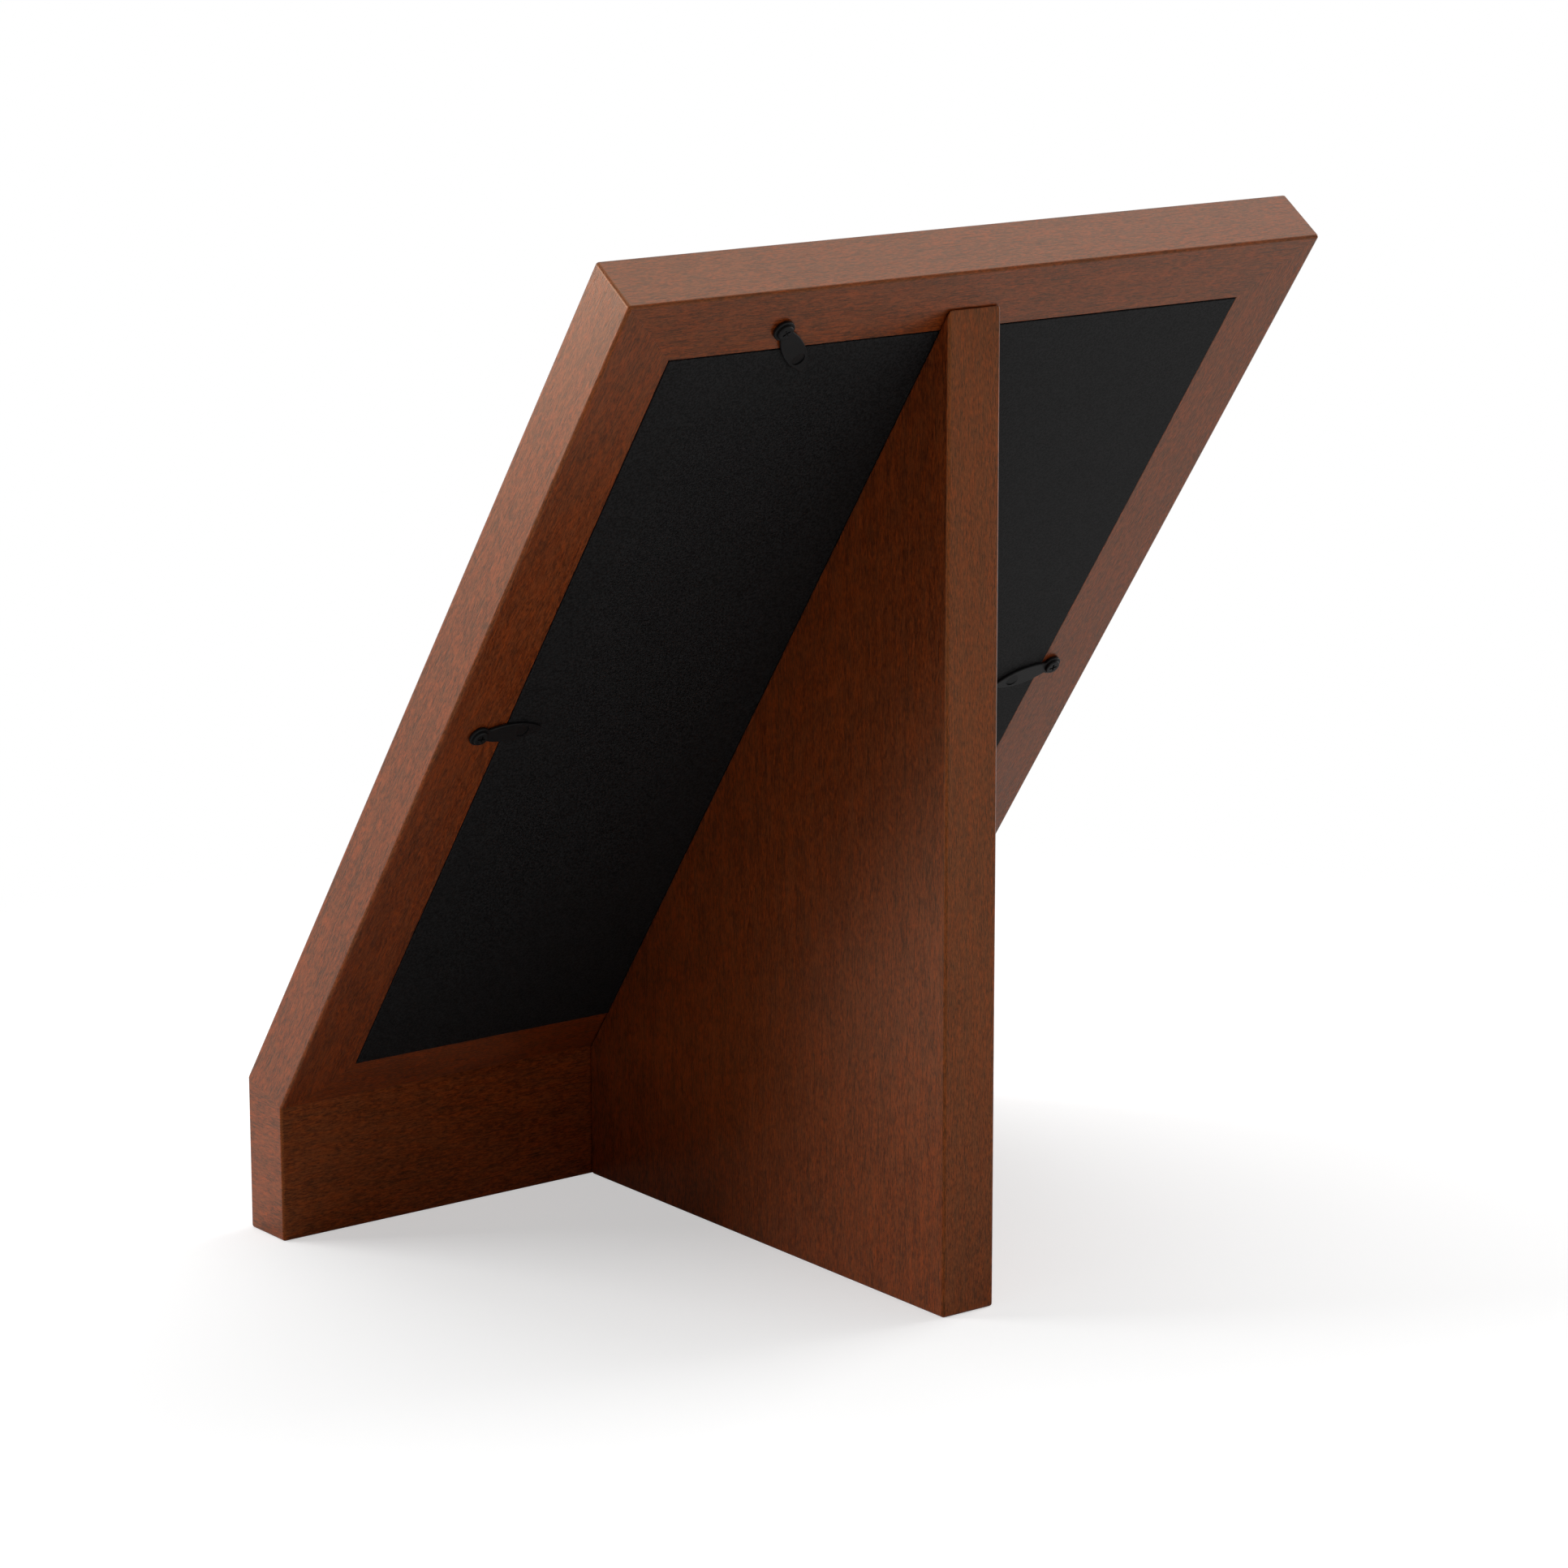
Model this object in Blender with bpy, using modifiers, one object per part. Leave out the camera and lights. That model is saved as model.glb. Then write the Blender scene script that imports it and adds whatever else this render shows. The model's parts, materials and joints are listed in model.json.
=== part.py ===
"""Tabletop picture frame that leans back on a plinth board and a fixed wooden easel fin.

Units are metres and +Z is up. The picture faces -Y and slightly up, +X is to the right as seen
from the front, and the origin is on the table at the middle of the footprint. The moulding's back
face and the plinth's back face meet along a straight bend line. Everything in the leaning frame is
placed in the frame plane's own axes: x to the right, y up the slope from the bend line, and z
from the back face towards the front face.
"""

import math

import bmesh
import bpy
from mathutils import Matrix, Vector

MM = 0.001

# Picture and moulding
PICTURE_WIDTH = 127 * MM
PICTURE_HEIGHT = 178 * MM
PICTURE_PLAY = 2 * MM  # the opening is this much larger than the picture, each way
RAIL_WIDTH = 13.5 * MM  # outer edge to opening, on the back
LIP_WIDTH = 5 * MM  # how far the front lip covers the glass
STOCK = 11.9 * MM  # thickness of the moulding and of the plinth board
LEAN = math.radians(35)  # back from vertical
PLINTH_HEIGHT = 26.6 * MM  # table to bend line
EDGE_RADIUS = 0.6 * MM

# Easel fin
FIN_THICKNESS = 11.9 * MM
FIN_SETBACK = 8.1 * MM  # top edge of the frame down to the fin's tip, along the slope

# Stack behind the lip
GLASS_THICKNESS = 2 * MM
MAT_THICKNESS = 1.4 * MM
MAT_BORDER = 17 * MM
PRINT_THICKNESS = 0.3 * MM
BOARD_THICKNESS = 3 * MM

# Hidden joinery
KEY_ALONG = 5 * MM  # the key's size along the mitre
KEY_THICKNESS = 3 * MM
KEY_DEPTH = 6 * MM  # middle of the key, from the back face
KEY_WALL = 1.3 * MM  # wood left between a key's corners and the opening or the bend
DOWEL_DIAMETER = 3 * MM
DOWEL_LENGTH = 12 * MM
DOWEL_PLACES = (-55 * MM, -20 * MM, 20 * MM, 55 * MM)

# Fin screws
FIN_SCREW_DIAMETER = 3 * MM
FIN_SCREW_LENGTH = 14 * MM
FIN_SCREW_HEAD = 5.6 * MM
FIN_SCREW_PLACES = (25 * MM, 85 * MM, 145 * MM)  # above the opening's lower edge

# Turn buttons
BUTTON_THICKNESS = 0.65 * MM
EYE_DIAMETER = 4.1 * MM
BLADE_LENGTH = 13.4 * MM  # screw to tip
BLADE_WIDTH = 4.3 * MM
WAIST_WIDTH = 2.6 * MM
WAIST_PLACE = 2.2 * MM
WAIST_REACH = 0.7 * MM  # how far the outline runs straight on each side of the waist
WIDEST_PLACE = 7 * MM
WIDEST_REACH = 2.6 * MM
DENT_PLACE = 9.9 * MM
DENT_DIAMETER = 2.2 * MM
DENT_DEPTH = 0.22 * MM
BUTTON_SCREW_DIAMETER = 1.5 * MM
BUTTON_SCREW_HEAD = 3.1 * MM
BUTTON_SCREW_HEAD_HEIGHT = 0.55 * MM
BUTTON_SCREW_LENGTH = 8 * MM

# Where each button's screw is: how far outside the opening, how far along that side from the
# middle of it, and which way the blade points.
BUTTONS = {
    "top": (4.6 * MM, 42.2 * MM, math.radians(229.8)),
    "right": (5.5 * MM, 0.7 * MM, math.radians(180.3)),
    "left": (2.3 * MM, -5.3 * MM, math.radians(-15)),
    "bottom": (4.9 * MM, -42.2 * MM, math.radians(49.8)),
}

# Clearances
GAP = 0.3 * MM  # between faces that rest on each other
PLAY = 0.4 * MM  # around the glass, mat, print and board

# How finely curves are drawn
ROUND_STEPS = 32
SMALL_STEPS = 20
BEVEL_STEPS = 2
OUTLINE_STEPS = 6
CREASE = math.radians(35)  # round pieces are shaded smooth across flatter edges than this
SQUARE_EDGE = math.radians(60)  # the fin's edges this sharp are eased, but not its bend
MERGE = 0.01 * MM  # points nearer than this become one

CUT_PAST = 5 * MM  # how far a cutter runs past the face it opens
RECESS_SHARE = 0.62  # a cross recess spans this much of its screw head
RECESS_SLOT = 0.2  # each slot of it is this wide
RECESS_SINK = 0.6  # and it goes this share of the head's height deep
QUARTER_HANDLE = 4 / 3 * (math.sqrt(2) - 1)  # of a quarter circle's curve, for a radius of 1

# Sizes that follow
OPENING_WIDTH = PICTURE_WIDTH + PICTURE_PLAY
OPENING_HEIGHT = PICTURE_HEIGHT + PICTURE_PLAY
FRAME_WIDTH = OPENING_WIDTH + 2 * RAIL_WIDTH
BEND_RISE = STOCK * math.tan(LEAN / 2)  # the bend is this much higher on the front
OPENING_BOTTOM = RAIL_WIDTH - BEND_RISE
OPENING_TOP = OPENING_BOTTOM + OPENING_HEIGHT
SLOPE = OPENING_TOP + RAIL_WIDTH
# Straight down from the opening's lower corner to the bend, at the keys' rear face
KEY_ROOM = OPENING_BOTTOM + (KEY_DEPTH - KEY_THICKNESS / 2) * math.tan(LEAN / 2)
KEY_ACROSS = math.sqrt(2) * (KEY_ROOM - 2 * KEY_WALL) - KEY_ALONG
KEY_SIZE = Vector((KEY_ACROSS, KEY_ALONG, KEY_THICKNESS))
LAYERS = (BOARD_THICKNESS, PRINT_THICKNESS, MAT_THICKNESS, GLASS_THICKNESS)
REBATE_DEPTH = sum(LAYERS) + len(LAYERS) * GAP
# The top's back edge loses this much of its reach to its rounding.
EASED_AWAY = EDGE_RADIUS * (1 - math.sqrt(0.5)) * (math.sin(LEAN) + math.cos(LEAN))
BEND_Y = (STOCK - SLOPE * math.sin(LEAN) + EASED_AWAY) / 2
FIN_DEPTH = (SLOPE - FIN_SETBACK) * math.sin(LEAN)


def clear_scene():
    for obj in list(bpy.data.objects):
        bpy.data.objects.remove(obj, do_unlink=True)


def new_collection(name):
    collection = bpy.data.collections.new(name)
    bpy.context.scene.collection.children.link(collection)
    return collection


def new_empty(name, location, tilt):
    empty = bpy.data.objects.new(name, None)
    empty.location = location
    empty.rotation_euler = (tilt, 0, 0)
    parts.objects.link(empty)
    return empty


def make_material(name, colour, roughness, metallic=0.0, transmission=0.0):
    material = bpy.data.materials.new(name)
    material.use_nodes = True
    shader = material.node_tree.nodes["Principled BSDF"]
    shader.inputs["Base Color"].default_value = (*colour, 1)
    shader.inputs["Roughness"].default_value = roughness
    shader.inputs["Metallic"].default_value = metallic
    shader.inputs["Transmission Weight"].default_value = transmission
    return material


def new_object(name, bm, parent, material=None):
    """Makes an object of a mesh built in its parent's axes. Without a material it is a cutter."""
    mesh = bpy.data.meshes.new(name)
    bm.to_mesh(mesh)
    bm.free()
    obj = bpy.data.objects.new(name, mesh)
    obj.parent = parent
    if material:
        mesh.materials.append(material)
        parts.objects.link(obj)
    else:
        obj.hide_render = True
        obj.display_type = "WIRE"
        cutters.objects.link(obj)
    return obj


def box(low, high):
    """A box between two opposite corners."""
    low, high = zip(*[sorted(ends) for ends in zip(low, high)])
    low = Vector(low)
    high = Vector(high)
    bm = bmesh.new()
    bmesh.ops.create_cube(bm, size=1)
    bmesh.ops.scale(bm, vec=high - low, verts=bm.verts)
    bmesh.ops.translate(bm, vec=(low + high) / 2, verts=bm.verts)
    return bm


def ease_edges(bm, along):
    """Rounds the long edges, those that run along the given direction."""
    along = Vector(along)
    edges = []
    for edge in bm.edges:
        run = (edge.verts[1].co - edge.verts[0].co).normalized()
        if abs(run.dot(along)) > 0.999:
            edges.append(edge)
    bmesh.ops.bevel(
        bm, geom=edges, offset=EDGE_RADIUS, segments=BEVEL_STEPS, profile=0.5, affect="EDGES"
    )


def trim(bm, point, normal):
    """Cuts away what lies on the normal's side of a plane, and closes the cut."""
    geometry = bm.verts[:] + bm.edges[:] + bm.faces[:]
    cut = bmesh.ops.bisect_plane(
        bm, geom=geometry, plane_co=point, plane_no=normal, clear_outer=True
    )
    rim = [item for item in cut["geom_cut"] if isinstance(item, bmesh.types.BMEdge)]
    bmesh.ops.edgeloop_fill(bm, edges=rim)
    bmesh.ops.recalc_face_normals(bm, faces=bm.faces[:])


def subtract(obj, cutter):
    modifier = obj.modifiers.new(cutter.name, "BOOLEAN")
    modifier.operation = "DIFFERENCE"
    modifier.solver = "EXACT"
    modifier.object = cutter


def cylinder(radius, low, high, steps=ROUND_STEPS, top_radius=None):
    """An upright cylinder or cone between two heights on the Z axis."""
    bm = bmesh.new()
    bmesh.ops.create_cone(
        bm,
        cap_ends=True,
        segments=steps,
        radius1=radius,
        radius2=radius if top_radius is None else top_radius,
        depth=high - low,
    )
    bmesh.ops.translate(bm, vec=(0, 0, (low + high) / 2), verts=bm.verts)
    return bm


def turned(name, profile, steps, parent, material=None):
    """Turns a profile of (radius, height) points, listed from top to bottom, about the Z axis."""
    bm = bmesh.new()
    points = [bm.verts.new((radius, 0, height)) for radius, height in profile]
    for first, second in zip(points, points[1:]):
        bm.edges.new((first, second))
    obj = new_object(name, bm, parent, material)
    screw = obj.modifiers.new("turn", "SCREW")
    screw.axis = "Z"
    screw.steps = steps
    screw.render_steps = steps
    screw.use_merge_vertices = True
    screw.merge_threshold = MERGE
    return obj


def finish_round(obj):
    """Smooth shading with sharp creases."""
    obj.data.shade_smooth()
    obj.data.set_sharp_from_angle(angle=CREASE)


# Moulding


def mitre_planes():
    """The four mitres as (corner, direction along the mitre), named for their corners."""
    half = OPENING_WIDTH / 2
    return {
        "top_left": (Vector((-half, OPENING_TOP, 0)), Vector((-1, 1, 0)).normalized()),
        "top_right": (Vector((half, OPENING_TOP, 0)), Vector((1, 1, 0)).normalized()),
        "bottom_left": (Vector((-half, OPENING_BOTTOM, 0)), Vector((-1, -1, 0)).normalized()),
        "bottom_right": (Vector((half, OPENING_BOTTOM, 0)), Vector((1, -1, 0)).normalized()),
    }


def moulding_bar(name, low, high, along, mitres, meets_bend=True):
    """One rail or stile: a bar with its lip, mitred at both ends and cut off at the bend."""
    bm = box((*low, 0), (*high, STOCK))
    ease_edges(bm, along)
    middle = (Vector((*low, 0)) + Vector((*high, 0))) / 2
    for corner in mitres:
        point, run = mitre_planes()[corner]
        normal = Vector((-run.y, run.x, 0))
        if (middle - point).dot(normal) > 0:
            normal.negate()
        trim(bm, point - normal * GAP / 2, normal)
    if meets_bend:
        # The bend plane halves the angle between the leaning frame and the upright plinth.
        normal = Vector((0, -math.cos(LEAN / 2), -math.sin(LEAN / 2)))
        trim(bm, -normal * GAP / 2, normal)
    obj = new_object(name, bm, frame_plane, wood)
    subtract(obj, rebate_cutter)
    return obj


def make_moulding():
    half = FRAME_WIDTH / 2
    reach = RAIL_WIDTH + LIP_WIDTH
    across = (1, 0, 0)
    up = (0, 1, 0)
    top = moulding_bar(
        "top_rail",
        (-half, SLOPE - reach),
        (half, SLOPE),
        across,
        ("top_left", "top_right"),
        meets_bend=False,
    )
    bottom = moulding_bar(
        "bottom_rail",
        (-half, -BEND_RISE),
        (half, OPENING_BOTTOM + LIP_WIDTH),
        across,
        ("bottom_left", "bottom_right"),
    )
    left = moulding_bar(
        "left_stile", (-half, -BEND_RISE), (reach - half, SLOPE), up, ("bottom_left", "top_left")
    )
    right = moulding_bar(
        "right_stile", (half - reach, -BEND_RISE), (half, SLOPE), up, ("bottom_right", "top_right")
    )
    return {"top": top, "bottom": bottom, "left": left, "right": right}


def make_corner_keys(moulding):
    """A loose tongue across each mitre, in a slot shared by both pieces."""
    for corner, (point, run) in mitre_planes().items():
        turn = Matrix.Rotation(math.atan2(run.y, run.x) + math.pi / 2, 4, "Z")
        middle = point + run * math.sqrt(2) * KEY_ROOM / 2
        middle.z = KEY_DEPTH
        place = Matrix.Translation(middle) @ turn
        key = box(-KEY_SIZE / 2, KEY_SIZE / 2)
        bmesh.ops.transform(key, matrix=place, verts=key.verts)
        new_object("corner_key_" + corner, key, frame_plane, pale_wood)
        room = KEY_SIZE / 2 + Vector((GAP, GAP, GAP))
        slot = box(-room, room)
        bmesh.ops.transform(slot, matrix=place, verts=slot.verts)
        cutter = new_object("key_slot_" + corner, slot, frame_plane)
        for side in corner.split("_"):
            subtract(moulding[side], cutter)


# Plinth and its dowels


def make_plinth():
    half = FRAME_WIDTH / 2
    bm = box((-half, -STOCK, 0), (half, 0, PLINTH_HEIGHT + BEND_RISE))
    ease_edges(bm, (1, 0, 0))
    normal = Vector((0, math.sin(LEAN / 2), math.cos(LEAN / 2)))
    bend = Vector((0, 0, PLINTH_HEIGHT))
    trim(bm, bend - normal * GAP / 2, normal)
    return new_object("plinth_board", bm, plinth_face, wood)


def make_plinth_dowels(plinth, bottom_rail):
    """Dowels square to the bend plane, half in the plinth and half in the bottom rail."""
    middle_of_bend = Vector((0, -STOCK / 2, PLINTH_HEIGHT + BEND_RISE / 2))
    tilt = Matrix.Rotation(-LEAN / 2, 4, "X")
    half = DOWEL_LENGTH / 2
    for number, across in enumerate(DOWEL_PLACES, 1):
        place = Matrix.Translation(middle_of_bend + Vector((across, 0, 0))) @ tilt
        dowel = cylinder(DOWEL_DIAMETER / 2, -half, half, SMALL_STEPS)
        bmesh.ops.transform(dowel, matrix=place, verts=dowel.verts)
        finish_round(new_object(f"plinth_dowel_{number}", dowel, plinth_face, pale_wood))
        hole = cylinder(DOWEL_DIAMETER / 2 + GAP, -half - GAP, half + GAP, SMALL_STEPS)
        bmesh.ops.transform(hole, matrix=place, verts=hole.verts)
        cutter = new_object(f"dowel_hole_{number}", hole, plinth_face)
        subtract(plinth, cutter)
        subtract(bottom_rail, cutter)


# Easel fin


def make_fin():
    """An upright board whose front edge follows the plinth and the leaning back face."""
    half = FIN_THICKNESS / 2
    top = PLINTH_HEIGHT + FIN_DEPTH / math.tan(LEAN)
    bm = box((-half, GAP, 0), (half, FIN_DEPTH, top))
    out_of_back = Vector((0, math.cos(LEAN), -math.sin(LEAN)))
    trim(bm, Vector((0, 0, PLINTH_HEIGHT)) + out_of_back * GAP, -out_of_back)
    obj = new_object("easel_fin", bm, plinth_face, wood)
    bevel = obj.modifiers.new("eased_edges", "BEVEL")
    bevel.width = EDGE_RADIUS
    bevel.segments = BEVEL_STEPS
    bevel.limit_method = "ANGLE"
    bevel.angle_limit = SQUARE_EDGE
    return obj


# Glass, mat, print and board


def make_sheet(name, thickness, behind, material):
    """A flat sheet in the rebate, standing clear of what lies behind it."""
    half = OPENING_WIDTH / 2 - PLAY
    bm = box(
        (-half, OPENING_BOTTOM + PLAY, behind), (half, OPENING_TOP - PLAY, behind + thickness)
    )
    return new_object(name, bm, frame_plane, material)


def make_window_cutter(behind):
    """The mat's window, with sides that splay at 45 degrees towards the front."""
    half = OPENING_WIDTH / 2 - PLAY - MAT_BORDER
    low = OPENING_BOTTOM + PLAY + MAT_BORDER
    high = OPENING_TOP - PLAY - MAT_BORDER
    bm = box((-half, low, behind - GAP / 2), (half, high, behind + MAT_THICKNESS + GAP / 2))
    splay = MAT_THICKNESS + GAP
    middle = (low + high) / 2
    for vert in bm.verts:
        if vert.co.z > behind:
            vert.co.x += math.copysign(splay, vert.co.x)
            vert.co.y += math.copysign(splay, vert.co.y - middle)
    return new_object("mat_window", bm, frame_plane)


def make_stack():
    """Board, print, mat and glass, from the back face forwards."""
    board = make_sheet("backing_board", BOARD_THICKNESS, 0, black_board)
    level = BOARD_THICKNESS + GAP
    make_sheet("picture_print", PRINT_THICKNESS, level, print_paper)
    level += PRINT_THICKNESS + GAP
    mat = make_sheet("mat_board", MAT_THICKNESS, level, mat_card)
    subtract(mat, make_window_cutter(level))
    level += MAT_THICKNESS + GAP
    make_sheet("glass_pane", GLASS_THICKNESS, level, glass)
    return board


# Screws


def cut_cross_recess(screw, parent, head, height, top, out):
    """Opens the middle of a screw head with two crossed slots. Out is +1 or -1, the way it faces."""
    reach = head * RECESS_SHARE / 2
    slot = head * RECESS_SLOT / 2
    depth = height * RECESS_SINK
    for across, along in ((reach, slot), (slot, reach)):
        bm = box((-across, -along, top - out * depth), (across, along, top + out * CUT_PAST))
        subtract(screw, new_object("recess_" + screw.name, bm, parent))


def make_fin_screws(board, fin):
    """Countersunk screws through the board, from its hidden front face, into the fin."""
    head_radius = FIN_SCREW_HEAD / 2
    radius = FIN_SCREW_DIAMETER / 2
    cone = head_radius - radius
    point = 2 * radius
    profile = (
        (0, 0),
        (head_radius, 0),
        (radius, -cone),
        (radius, point - FIN_SCREW_LENGTH),
        (0, -FIN_SCREW_LENGTH),
    )
    spread = GAP * math.sqrt(2)
    hole = (
        (0, CUT_PAST),
        (head_radius + spread, CUT_PAST),
        (head_radius + spread, 0),
        (radius + GAP, GAP - spread - cone),
        (radius + GAP, -FIN_SCREW_LENGTH - GAP),
        (0, -FIN_SCREW_LENGTH - GAP),
    )
    for number, up in enumerate(FIN_SCREW_PLACES, 1):
        seat = new_empty(f"fin_screw_seat_{number}", (0, OPENING_BOTTOM + up, BOARD_THICKNESS), 0)
        seat.parent = frame_plane
        screw = turned(f"fin_screw_{number}", profile, SMALL_STEPS, seat, bright_steel)
        cut_cross_recess(screw, seat, FIN_SCREW_HEAD, cone, 0, 1)
        cutter = turned(f"fin_screw_hole_{number}", hole, SMALL_STEPS, seat)
        subtract(board, cutter)
        subtract(fin, cutter)


# Turn buttons


def button_place(side):
    """Where a button's screw stands on the back face, in the frame plane's axes."""
    outside, along, _ = BUTTONS[side]
    middle = (OPENING_BOTTOM + OPENING_TOP) / 2
    return {
        "top": (along, OPENING_TOP + outside),
        "bottom": (along, OPENING_BOTTOM - outside),
        "right": (OPENING_WIDTH / 2 + outside, middle + along),
        "left": (-OPENING_WIDTH / 2 - outside, middle + along),
    }[side]


def make_plate():
    """The flat plate as a filled curve: a round eye, a waist, and a leaf with a pointed tip."""
    radius = EYE_DIAMETER / 2
    turn = radius * QUARTER_HANDLE
    # Each point's place on the outline, and how far its handles reach along the outline.
    rear = (Vector((-radius, 0, 0)), Vector((0, turn, 0)))
    upper = (
        (Vector((0, radius, 0)), Vector((turn, 0, 0))),
        (Vector((WAIST_PLACE, WAIST_WIDTH / 2, 0)), Vector((WAIST_REACH, 0, 0))),
        (Vector((WIDEST_PLACE, BLADE_WIDTH / 2, 0)), Vector((WIDEST_REACH, 0, 0))),
    )
    tip = (Vector((BLADE_LENGTH, 0, 0)), Vector((0, 0, 0)))
    mirror = Matrix.Diagonal((1, -1, 1))
    lower = [(mirror @ place, -reach) for place, reach in reversed(upper)]
    outline = [rear, *upper, tip, *lower]
    curve = bpy.data.curves.new("plate", "CURVE")
    curve.dimensions = "2D"
    curve.fill_mode = "BOTH"
    curve.extrude = BUTTON_THICKNESS / 2
    curve.resolution_u = OUTLINE_STEPS
    spline = curve.splines.new("BEZIER")
    spline.bezier_points.add(len(outline) - 1)
    spline.use_cyclic_u = True
    for point, (place, reach) in zip(spline.bezier_points, outline):
        point.handle_left_type = "FREE"
        point.handle_right_type = "FREE"
        point.co = place
        point.handle_left = place - reach
        point.handle_right = place + reach
    helper = bpy.data.objects.new("plate_curve", curve)
    cutters.objects.link(helper)
    bpy.context.view_layer.update()
    graph = bpy.context.evaluated_depsgraph_get()
    mesh = bpy.data.meshes.new_from_object(helper.evaluated_get(graph))
    bpy.data.objects.remove(helper)
    bm = bmesh.new()
    bm.from_mesh(mesh)
    bpy.data.meshes.remove(mesh)
    bmesh.ops.remove_doubles(bm, verts=bm.verts, dist=MERGE)
    bmesh.ops.recalc_face_normals(bm, faces=bm.faces[:])
    # Out of the back is towards -z in the frame plane's axes.
    bmesh.ops.translate(bm, vec=(0, 0, -GAP - BUTTON_THICKNESS / 2), verts=bm.verts)
    return bm


def make_turn_button(side, rail):
    """A leaf-shaped plate, and the pan head screw through its eye that it turns about."""
    x, y = button_place(side)
    pivot = new_empty("button_pivot_" + side, (x, y, 0), 0)
    pivot.parent = frame_plane
    pivot.rotation_euler.z = BUTTONS[side][2]

    top = -GAP - BUTTON_THICKNESS
    button = new_object("turn_button_" + side, make_plate(), pivot, black_metal)
    hole_radius = BUTTON_SCREW_DIAMETER / 2 + GAP
    deep = BUTTON_SCREW_LENGTH + GAP
    hole = new_object(
        "button_hole_" + side, cylinder(hole_radius, top - CUT_PAST, deep, SMALL_STEPS), pivot
    )
    subtract(button, hole)
    subtract(rail, hole)

    dent_radius = DENT_DIAMETER / 2
    ball = (dent_radius**2 + DENT_DEPTH**2) / (2 * DENT_DEPTH)
    bm = bmesh.new()
    bmesh.ops.create_uvsphere(bm, u_segments=SMALL_STEPS, v_segments=SMALL_STEPS, radius=ball)
    bmesh.ops.translate(bm, vec=(DENT_PLACE, 0, top + DENT_DEPTH - ball), verts=bm.verts)
    dent = new_object("button_dent_" + side, bm, pivot)
    subtract(button, dent)
    finish_round(button)

    under = top - GAP
    head_top = under - BUTTON_SCREW_HEAD_HEIGHT
    radius = BUTTON_SCREW_DIAMETER / 2
    head = BUTTON_SCREW_HEAD / 2
    crown = BUTTON_SCREW_HEAD_HEIGHT / 2
    profile = (
        (0, BUTTON_SCREW_LENGTH),
        (radius, BUTTON_SCREW_LENGTH - 2 * radius),
        (radius, under),
        (head, under),
        (head, under - crown),
        (head - crown, head_top),
        (0, head_top),
    )
    screw = turned("button_screw_" + side, profile, SMALL_STEPS, pivot, black_metal)
    cut_cross_recess(screw, pivot, BUTTON_SCREW_HEAD, BUTTON_SCREW_HEAD_HEIGHT, head_top, -1)


# Assembly

clear_scene()
parts = new_collection("picture_frame")
cutters = new_collection("cutters")

wood = make_material("stained_wood", (0.11, 0.036, 0.017), 0.45)
pale_wood = make_material("plain_beech", (0.5, 0.33, 0.18), 0.6)
black_board = make_material("black_board", (0.012, 0.012, 0.012), 0.7)
mat_card = make_material("white_card", (0.82, 0.8, 0.75), 0.9)
print_paper = make_material("print_paper", (0.5, 0.55, 0.55), 0.4)
glass = make_material("clear_glass", (0.95, 0.97, 0.96), 0.02, transmission=1.0)
black_metal = make_material("black_metal", (0.01, 0.01, 0.01), 0.45, metallic=0.6)
bright_steel = make_material("zinc_steel", (0.6, 0.6, 0.58), 0.35, metallic=1.0)

plinth_face = new_empty("plinth_face", (0, BEND_Y, 0), 0)
frame_plane = new_empty("frame_plane", (0, BEND_Y, PLINTH_HEIGHT), math.pi / 2 - LEAN)

rebate = box(
    (-OPENING_WIDTH / 2, OPENING_BOTTOM, -CUT_PAST), (OPENING_WIDTH / 2, OPENING_TOP, REBATE_DEPTH)
)
rebate_cutter = new_object("rebate_cutter", rebate, frame_plane)

moulding = make_moulding()
make_corner_keys(moulding)
plinth_board = make_plinth()
make_plinth_dowels(plinth_board, moulding["bottom"])
easel_fin = make_fin()
make_fin_screws(make_stack(), easel_fin)
for button_side in BUTTONS:
    make_turn_button(button_side, moulding[button_side])
bpy.context.view_layer.update()
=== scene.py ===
"""Looks for a tabletop picture frame that leans back on a plinth board and an easel fin.

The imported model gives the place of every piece. Pieces of the leaning frame are shaped in its own
flat axes, x to the right, y up the slope from the bend line and z from the back face to the front,
and then stood up on the slope.
"""

import json
import math

import bmesh
import bpy
from mathutils import Matrix, Quaternion, Vector
from mathutils.geometry import interpolate_bezier


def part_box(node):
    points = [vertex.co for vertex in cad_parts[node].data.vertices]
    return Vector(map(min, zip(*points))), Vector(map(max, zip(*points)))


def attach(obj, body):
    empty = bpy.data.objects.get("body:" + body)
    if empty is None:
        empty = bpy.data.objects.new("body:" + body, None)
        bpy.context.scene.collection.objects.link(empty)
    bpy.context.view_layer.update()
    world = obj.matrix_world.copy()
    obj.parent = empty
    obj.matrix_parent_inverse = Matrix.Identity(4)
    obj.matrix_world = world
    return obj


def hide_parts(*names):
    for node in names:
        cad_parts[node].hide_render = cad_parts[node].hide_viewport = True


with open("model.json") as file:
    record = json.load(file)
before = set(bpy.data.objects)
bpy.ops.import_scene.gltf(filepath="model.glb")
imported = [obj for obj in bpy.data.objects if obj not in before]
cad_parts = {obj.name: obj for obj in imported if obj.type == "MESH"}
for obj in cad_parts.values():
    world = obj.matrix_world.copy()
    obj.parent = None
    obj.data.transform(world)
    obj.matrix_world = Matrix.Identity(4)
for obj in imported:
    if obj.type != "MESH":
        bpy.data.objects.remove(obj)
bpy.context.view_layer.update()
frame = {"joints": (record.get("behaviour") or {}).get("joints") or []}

MM = 0.001

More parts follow.
